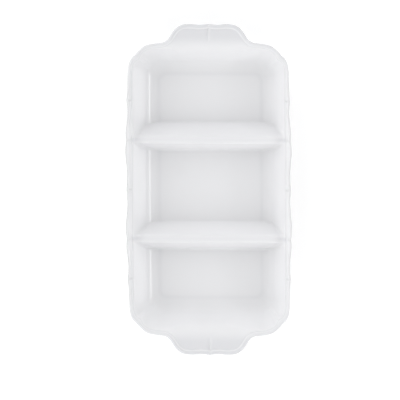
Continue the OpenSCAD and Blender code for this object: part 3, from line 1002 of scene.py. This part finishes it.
def glaze_material(finish):
    """White gloss glaze that lies a little unevenly, with painted shade: a darker grey over edges and folds,
    and a shaded grey in hollows, along lines and on the handles.
    """
    uneven_darker, uneven_shade, uneven_gloss = 0.2, 0.15, 0.05
    shade_share = 0.85  # most of the shaded grey that shows, where the painted shade is full
    darker_rough = 0.06  # how much rougher the glaze is where the darker grey is painted
    peel_share = 0.03  # height of the fine peel, as a share of the ripple's
    s = Shader(bpy.data.materials.new("glaze"))
    where = s.node("ShaderNodeTexCoord", {}, {}, "Object")
    depth = s.node("ShaderNodeAttribute", {"attribute_name": "painted_shade"}, {}, "Fac")
    uneven = s.noise(where, scale=22.0, detail=3.0) - 0.5
    # Painted shade: below 0 the attribute mixes in the darker grey, above 0 the shaded grey, each a little
    # uneven
    darker = (uneven * uneven_darker - depth).clamp()
    shaded = (uneven * uneven_shade + depth).clamp()
    white = s.colours(tuple(finish.glaze), tuple(finish.darker), darker)
    base = s.colours(white, tuple(finish.shaded), shaded * shade_share)
    ripple = s.noise(where, scale=38.0, detail=1.0)
    peel = s.noise(where, scale=420.0)
    height = ripple + peel * peel_share
    bump = s.node("ShaderNodeBump", {}, {"Strength": 0.25, "Distance": 0.6 * MM, "Height": height})
    rough = finish.gloss + uneven * uneven_gloss + darker * darker_rough
    surface = s.node("ShaderNodeBsdfPrincipled", {}, {
        "Base Color": base, "Roughness": rough, "Normal": bump, "Coat Weight": 0.35, "Coat Roughness": 0.05,
    })
    return s.finish(surface)


def bisque_material(finish):
    """Bare fired clay: fine grain, a little staining and a dull, slightly rough face."""
    stain_share, grain_share = 0.9, 0.5  # how far each darkens the clay
    dull, dull_change = 0.8, 0.2  # roughness, and how much it changes with the grain
    darkest = 0.72  # of the clay's colour
    s = Shader(bpy.data.materials.new("bisque"))
    where = s.node("ShaderNodeTexCoord", {}, {}, "Object")
    stain = s.noise(where, scale=30.0, detail=4.0, roughness=0.6)
    grain = s.noise(where, scale=2600.0, detail=3.0, roughness=0.7)
    stained = ((stain - 0.45) * stain_share + (grain - 0.5) * grain_share).clamp()
    dark = tuple(darkest * v for v in finish.bisque[:3]) + (1,)
    surface = s.node("ShaderNodeBsdfPrincipled", {}, {
        "Base Color": s.colours(tuple(finish.bisque), dark, stained),
        "Roughness": dull + (grain - 0.5) * dull_change,
        "Normal": s.node("ShaderNodeBump", {}, {"Strength": 0.5, "Distance": 0.2 * MM, "Height": grain}),
    })
    return s.finish(surface)


class DISH_OT_finish(bpy.types.Operator):
    """Glaze the dish and leave its foot bare"""

    bl_idname = "dish.finish"
    bl_label = "Glaze"

    def execute(self, context):
        finish = context.scene.dish_finish
        for name, slot, material in (("body", "glaze", glaze_material), ("foot", "bisque", bisque_material)):
            piece = form[name]
            piece.data.materials.clear()
            piece.data.materials.append(material(finish))
            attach(piece, "root")
        return {"FINISHED"}


class DISH_OT_stage(bpy.types.Operator):
    """Lay the white floor, hang the lamp and set the camera"""

    bl_idname = "dish.stage"
    bl_label = "Stage"

    floor_size = 60.0
    floor_white = (0.86, 0.86, 0.86, 1)
    floor_glow = 0.28  # what the floor lacks to white under this light, where it is seen
    lamp_place = Vector((1.0, -0.15, 0.47))
    lamp_high = 0.12
    lamp_wide = 0.6
    px = 1.2 * MM  # one pixel of the photograph, at the rim
    middle_px = 200.0  # the middle of the photograph, both ways
    rim_px = (208.9, 189.8)  # where the middle of the dish lies in it
    rim_share = 0.9  # height that the camera aims at, as a share of the dish's
    distance = 12.0  # from the rim to the camera
    tilt = math.radians(8.8)  # from straight above to the far side
    sway = math.radians(4.0)  # and to the right
    roll = math.radians(-0.35)
    sensor = 36.0

    def execute(self, context):
        self.floor(context)
        self.sky(context)
        self.lamp(context)
        self.camera(context)
        context.scene.view_settings.view_transform = "Standard"
        return {"FINISHED"}

    def floor(self, context):
        """A wide white floor. It keeps the dish's shadow."""
        bpy.ops.object.select_all(action="DESELECT")
        bpy.ops.mesh.primitive_plane_add(size=self.floor_size)
        floor = context.object
        floor.name = "stage_floor"
        s = Shader(bpy.data.materials.new("stage_white"))
        paint = s.node("ShaderNodeBsdfDiffuse", {}, {"Color": self.floor_white})
        glow = s.node("ShaderNodeEmission", {}, {"Strength": self.seen(s) * self.floor_glow})
        floor.data.materials.append(s.finish(s.node("ShaderNodeAddShader", {}, {0: paint, 1: glow})))

    def seen(self, s):
        """1 where the stage is seen, straight or in a gloss, and 0 where it only lights the dish."""
        rays = ("Is Camera Ray", "Is Glossy Ray", "Is Transmission Ray")
        camera, glossy, through = (s.node("ShaderNodeLightPath", {}, {}, ray) for ray in rays)
        return (camera + glossy + through).clamp()

    def sky(self, context):
        """A soft tent of light: brighter half way up than overhead, and brighter on the left."""
        world = context.scene.world or bpy.data.worlds.new("studio")
        context.scene.world = world
        light = context.scene.dish_light
        s = Shader(world)
        where = s.node("ShaderNodeTexCoord", {}, {}, "Generated")
        x, y, z = (s.node("ShaderNodeSeparateXYZ", {}, {"Vector": where}, axis) for axis in "XYZ")
        ring = (z.clamp() * (1 - z)).clamp() * 4  # 1 where it is strongest
        left, far, near = (v.clamp() * v.clamp() for v in (0 - x, y, 0 - y))
        glow = ring * light.ring + far * light.far + near * light.near + left * left * light.low_left
        white = (1, 1, 1, 1)
        tent = s.node("ShaderNodeBackground", {}, {"Color": white, "Strength": glow})
        plain = s.node("ShaderNodeBackground", {}, {"Color": white, "Strength": 1.0})
        s.finish(s.node("ShaderNodeMixShader", {}, {0: self.seen(s), 1: tent, 2: plain}))

    def lamp(self, context):
        """A strip lamp low down on the right, which draws the bright lines in the sweeps on the left."""
        x, y, z = self.lamp_place
        bpy.ops.object.light_add(type="AREA", location=self.lamp_place)
        lamp = context.object
        lamp.name = "lamp_strip"
        lamp.data.shape = "RECTANGLE"
        lamp.data.size = self.lamp_high
        lamp.data.size_y = self.lamp_wide
        lamp.data.energy = context.scene.dish_light.strip
        lamp.rotation_euler = (0, math.atan2(math.hypot(x, y), z), math.atan2(y, x))
        lamp.visible_camera = False

    def camera(self, context):
        """The camera at the photograph's angle: over the dish, and a little to its far side and right."""
        across = (self.middle_px - self.rim_px[0]) * self.px
        along = (self.rim_px[1] - self.middle_px) * self.px / math.cos(self.tilt)
        aim = Vector((across, along, cad_high.z * self.rim_share))
        back = Vector((math.sin(self.sway), math.sin(self.tilt), math.cos(self.tilt))).normalized()
        bpy.ops.object.camera_add(location=aim + back * self.distance)
        camera = context.object
        right = Vector((0, 1, 0)).cross(back).normalized()
        turn = Matrix((right, back.cross(right), back)).transposed().to_4x4()
        camera.rotation_euler = (turn @ Matrix.Rotation(self.roll, 4, "Z")).to_euler()
        camera.data.sensor_width = self.sensor
        camera.data.lens = self.sensor * self.distance / (2 * self.middle_px * self.px)
        camera.data.clip_end = 100
        context.scene.camera = camera


class DISH_PT_panel(bpy.types.Panel):
    """Steps of the dish, in order, with its sizes, finishes and light"""

    bl_idname = "DISH_PT_panel"
    bl_label = "Divided serving dish"
    bl_space_type = "VIEW_3D"
    bl_region_type = "UI"
    bl_category = "Dish"

    def draw(self, context):
        for step in OPERATORS:
            self.layout.operator(step.bl_idname)
        for name in GROUPS:
            group = getattr(context.scene, name)
            box = self.layout.box()
            for size in type(group).__annotations__:
                box.prop(group, size)


GROUPS = {"dish_form": DishForm, "dish_finish": DishFinish, "dish_light": DishLight}
OPERATORS = (DISH_OT_bowl, DISH_OT_rim, DISH_OT_underside, DISH_OT_foot, DISH_OT_finish, DISH_OT_stage)
CLASSES = (*GROUPS.values(), *OPERATORS, DISH_PT_panel)


def register():
    for c in CLASSES:
        bpy.utils.register_class(c)
    for name, group in GROUPS.items():
        setattr(bpy.types.Scene, name, bpy.props.PointerProperty(type=group))


def unregister():
    for name in GROUPS:
        delattr(bpy.types.Scene, name)
    for c in reversed(CLASSES):
        bpy.utils.unregister_class(c)


def main():
    register()
    bpy.ops.dish.bowl()
    bpy.ops.dish.rim()
    bpy.ops.dish.underside()
    bpy.ops.dish.foot()
    bpy.ops.dish.finish()
    bpy.ops.dish.stage()


if __name__ == "__main__":
    main()
